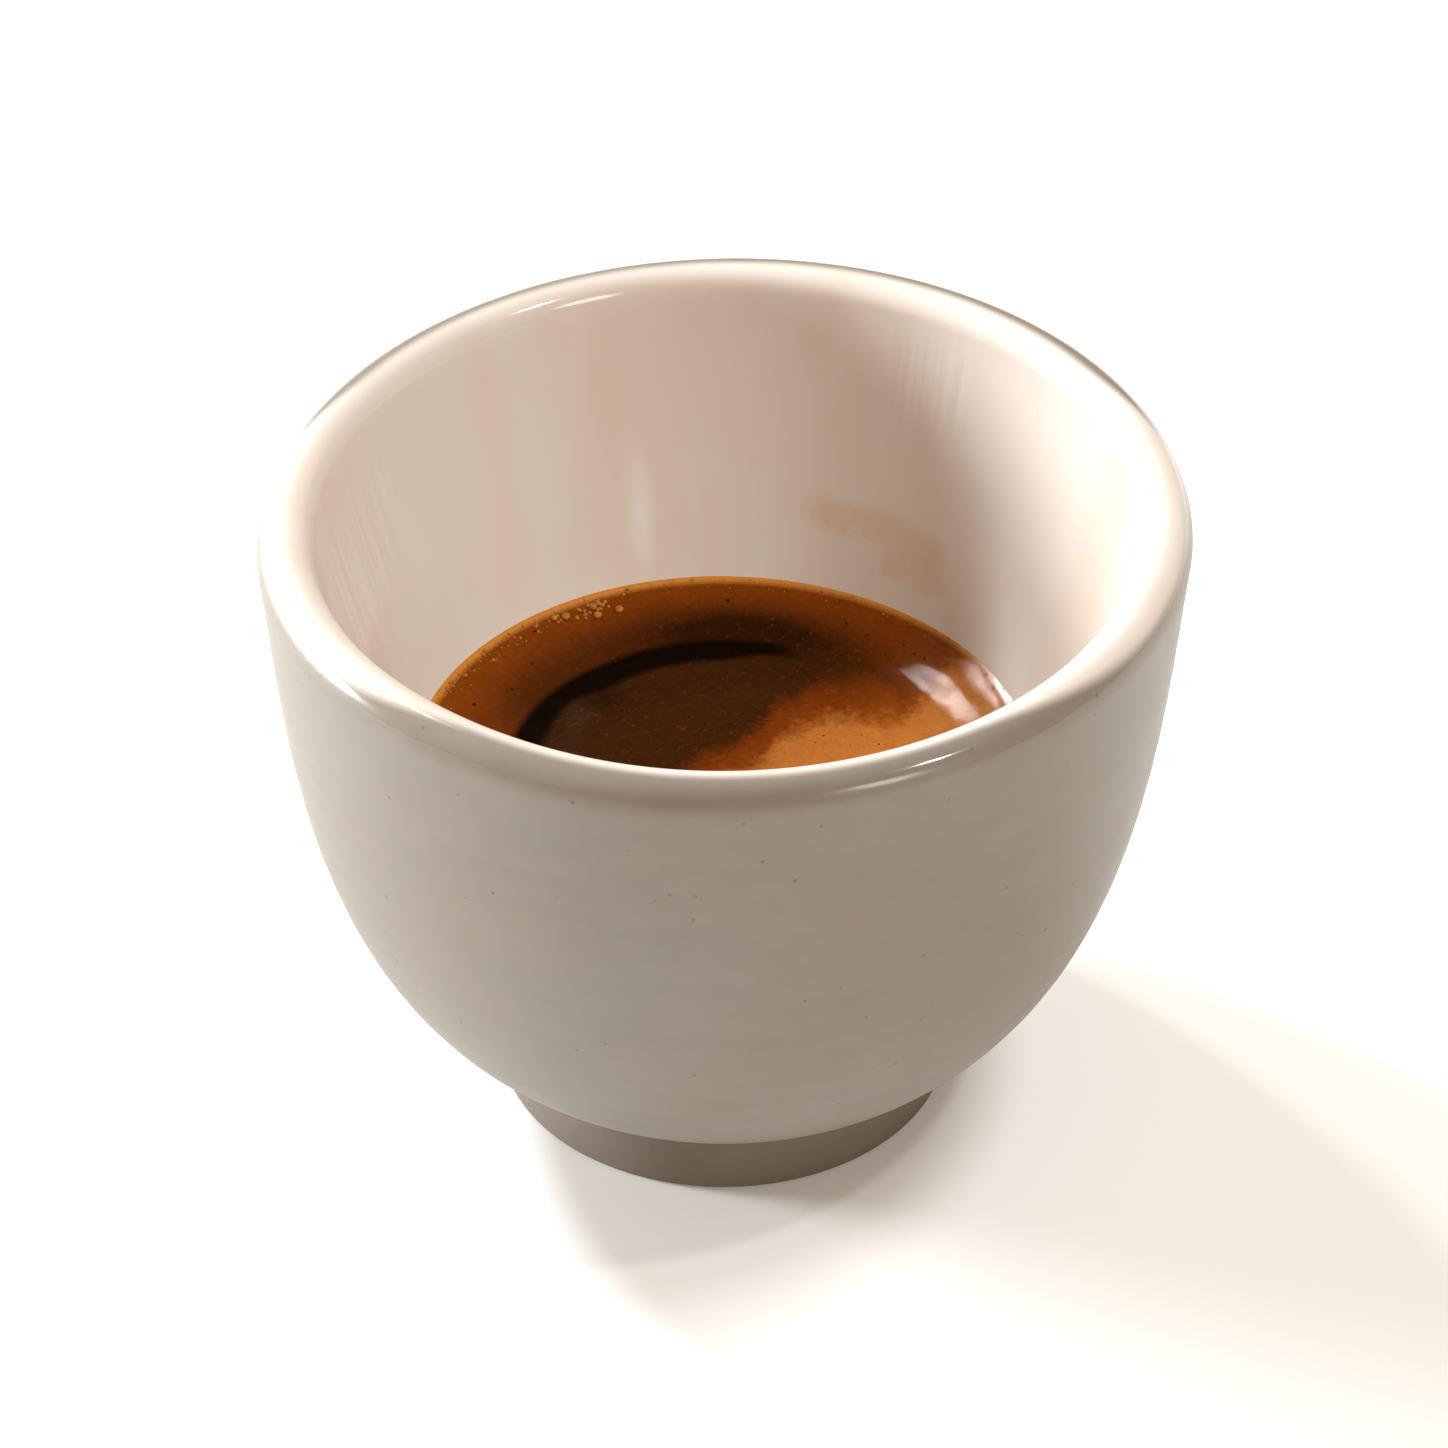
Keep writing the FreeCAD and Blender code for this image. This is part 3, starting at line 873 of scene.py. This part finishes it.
def scattered(name, shape, sides, spots, material):
    """One piece made of the same small turned shape at many (x, y, size) spots, in mm."""
    vertices, faces = turned(np.array(shape), sides)
    all_vertices, all_faces = [], []
    for x, y, size in spots:
        ground = crema_height(np.array([x * MM]), np.array([y * MM]))[0]
        start = len(all_vertices)
        all_vertices += [(x * MM + vx * size * MM, y * MM + vy * size * MM,
                          ground + vz * size * MM) for vx, vy, vz in vertices]
        all_faces += [tuple(start + corner for corner in face) for face in faces]
    piece = new_piece(name, all_vertices, all_faces, material)
    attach(piece, "root")
    return piece


def round_spots(count, angles, from_wall, sizes):
    """Spots in a band along the wall; angles in degrees, the rest in mm."""
    found = []
    for _ in range(count):
        angle = math.radians(bubble_draw.uniform(*angles))
        away = from_wall[0] + (from_wall[1] - from_wall[0]) * bubble_draw.random() ** 1.6
        size = sizes[0] + (sizes[1] - sizes[0]) * bubble_draw.random() ** 3
        r = WET_RADIUS / MM - away
        found.append((r * math.cos(angle), r * math.sin(angle), size))
    return found


whole = round_spots(150, angles=(108, 190), from_wall=(0.25, 1.6), sizes=(0.06, 0.2))
whole += round_spots(26, angles=(112, 126), from_wall=(0.7, 1.9), sizes=(0.16, 0.42))
whole += round_spots(70, angles=(0, 108), from_wall=(0.2, 1.0), sizes=(0.05, 0.13))
whole += round_spots(60, angles=(190, 360), from_wall=(0.2, 1.4), sizes=(0.05, 0.16))
# Each one's place to the right and behind the axis, and its size, all in mm.
BIG_PITS = [(0.3, 23.6, 0.17), (-20.9, 9.2, 0.15), (-16.2, 15.0, 0.13), (-17.8, 11.6, 0.12),
            (-16.1, 18.7, 0.14), (15.2, 17.4, 0.13), (16.1, 16.1, 0.12), (16.9, 15.4, 0.12),
            (10.4, 20.5, 0.12), (12.1, 19.0, 0.1)]
burst = BIG_PITS + round_spots(46, angles=(20, 200), from_wall=(1.4, 7.5), sizes=(0.045, 0.09))
burst += round_spots(16, angles=(40, 60), from_wall=(5.0, 9.5), sizes=(0.05, 0.1))
burst += [(bubble_draw.uniform(-2, 14), bubble_draw.uniform(-8, 9),
           bubble_draw.uniform(0.04, 0.09)) for _ in range(26)]
burst += round_spots(24, angles=(200, 380), from_wall=(1.4, 9.0), sizes=(0.045, 0.1))

print(len(whole), "whole bubbles and", len(burst), "burst ones")

# %% [markdown]
# ## The finish of the bubbles
#
# A whole bubble is a thin wet film, smoother than the foam, so it shines. A
# burst one is a dull pit stained by the black coffee.

# %% Bubble materials
DREGS_BROWN = linear("3A1602")
BUBBLE_SKIN = linear("C4883F")
bubble_skin, bubble_shader = new_material("bubble_skin", ior=1.33)
bubble_shader.inputs["Specular IOR Level"].default_value = 0.45
place = add(bubble_skin, "ShaderNodeTexCoord", output="Object")
film = add(bubble_skin, "ShaderNodeTexNoise", {"Vector": place, "Scale": per_metre(0.6)})
skin_colour = add(bubble_skin, "ShaderNodeMix",
                  {"Factor": film, "A": CREMA_RING, "B": BUBBLE_SKIN}, data_type="RGBA")
skin_rough = add(bubble_skin, "ShaderNodeMapRange",
                 {"Value": film, "To Min": 0.05, "To Max": 0.15})
skin_bump = add(bubble_skin, "ShaderNodeBump",
                {"Height": film, "Strength": 0.05, "Distance": 0.02 * MM})
feed(bubble_skin, bubble_shader, Base_Color=skin_colour, Roughness=skin_rough,
     Normal=skin_bump)
burst_pit, pit_shader = new_material("burst_bubble", ior=1.33)
pit_shader.inputs["Specular IOR Level"].default_value = 0.15
place = add(burst_pit, "ShaderNodeTexCoord", output="Object")
dregs = add(burst_pit, "ShaderNodeTexNoise", {"Vector": place, "Scale": per_metre(0.4)})
pit_colour = add(burst_pit, "ShaderNodeMix",
                 {"Factor": dregs, "A": BLACK_COFFEE, "B": DREGS_BROWN},
                 data_type="RGBA")
pit_rough = add(burst_pit, "ShaderNodeMapRange", {"Value": dregs, "To Min": 0.3, "To Max": 0.5})
pit_bump = add(burst_pit, "ShaderNodeBump",
               {"Height": dregs, "Strength": 0.1, "Distance": 0.02 * MM})
feed(burst_pit, pit_shader, Base_Color=pit_colour, Roughness=pit_rough, Normal=pit_bump)
scattered("whole_bubbles", DOME, BUBBLE_SIDES, whole, bubble_skin)
scattered("burst_bubbles", PIT, BUBBLE_SIDES, burst, burst_pit)

# %% [markdown]
# ## The coffee under the crema
#
# Below the foam the liquid fills the well. Almost nothing of it shows, so the
# turned piece from the frame stays as it is, and only gets the finish of
# black coffee: very dark, very smooth, with the IOR of water.

# %% Black coffee
COFFEE_BROWN = linear("2A1106")
black_coffee, coffee_shader = new_material("black_coffee", ior=1.33)
place = add(black_coffee, "ShaderNodeTexCoord", output="Object")
murk = add(black_coffee, "ShaderNodeTexNoise", {"Vector": place, "Scale": per_metre(12)})
coffee_colour = add(black_coffee, "ShaderNodeMix",
                    {"Factor": murk, "A": BLACK_COFFEE, "B": COFFEE_BROWN},
                    data_type="RGBA")
coffee_rough = add(black_coffee, "ShaderNodeMapRange",
                   {"Value": murk, "To Min": 0.04, "To Max": 0.1})
coffee_bump = add(black_coffee, "ShaderNodeBump",
                  {"Height": murk, "Strength": 0.1, "Distance": 0.05 * MM})
feed(black_coffee, coffee_shader, Base_Color=coffee_colour, Roughness=coffee_rough,
     Normal=coffee_bump)
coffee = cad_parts["coffee"]
for slot in coffee.material_slots:
    slot.material = black_coffee
print("coffee has", len(coffee.material_slots), "slot")

# %% [markdown]
# ## The table
#
# A plain sheet of white paper, large enough to fill every view. It lies on a
# light table, and the faint glow that comes up through it keeps the shadows
# pale.

# %% Table
TABLE_SIZE = 4.0
PAPER = linear("F3F2F0")
PAPER_PALE = linear("F5F4F3")
GLOW_COLOUR = (0.85, 0.97, 1.0, 1.0)
GLOW_STRENGTH = 0.07
table_mesh = bpy.data.meshes.new("table")
sheet = bmesh.new()
bmesh.ops.create_grid(sheet, x_segments=8, y_segments=8, size=TABLE_SIZE / 2)
sheet.to_mesh(table_mesh)
sheet.free()
table = bpy.data.objects.new("table", table_mesh)
scene.collection.objects.link(table)
white_paper, paper_shader = new_material("white_paper", ior=1.5)
paper_shader.inputs["Specular IOR Level"].default_value = 0.1
paper_shader.inputs["Emission Color"].default_value = GLOW_COLOUR
paper_shader.inputs["Emission Strength"].default_value = GLOW_STRENGTH
white_paper.cycles.emission_sampling = "NONE"
place = add(white_paper, "ShaderNodeTexCoord", output="Object")
pulp = add(white_paper, "ShaderNodeTexNoise", {"Vector": place, "Scale": per_metre(30)})
paper_colour = add(white_paper, "ShaderNodeMix",
                   {"Factor": pulp, "A": PAPER, "B": PAPER_PALE},
                   data_type="RGBA")
paper_rough = add(white_paper, "ShaderNodeMapRange",
                  {"Value": pulp, "To Min": 0.75, "To Max": 0.85})
paper_bump = add(white_paper, "ShaderNodeBump",
                 {"Height": pulp, "Strength": 0.02, "Distance": 0.05 * MM})
feed(white_paper, paper_shader, Base_Color=paper_colour, Roughness=paper_rough,
     Normal=paper_bump)
table_mesh.materials.append(white_paper)
print(f"table {TABLE_SIZE:.0f} m wide")
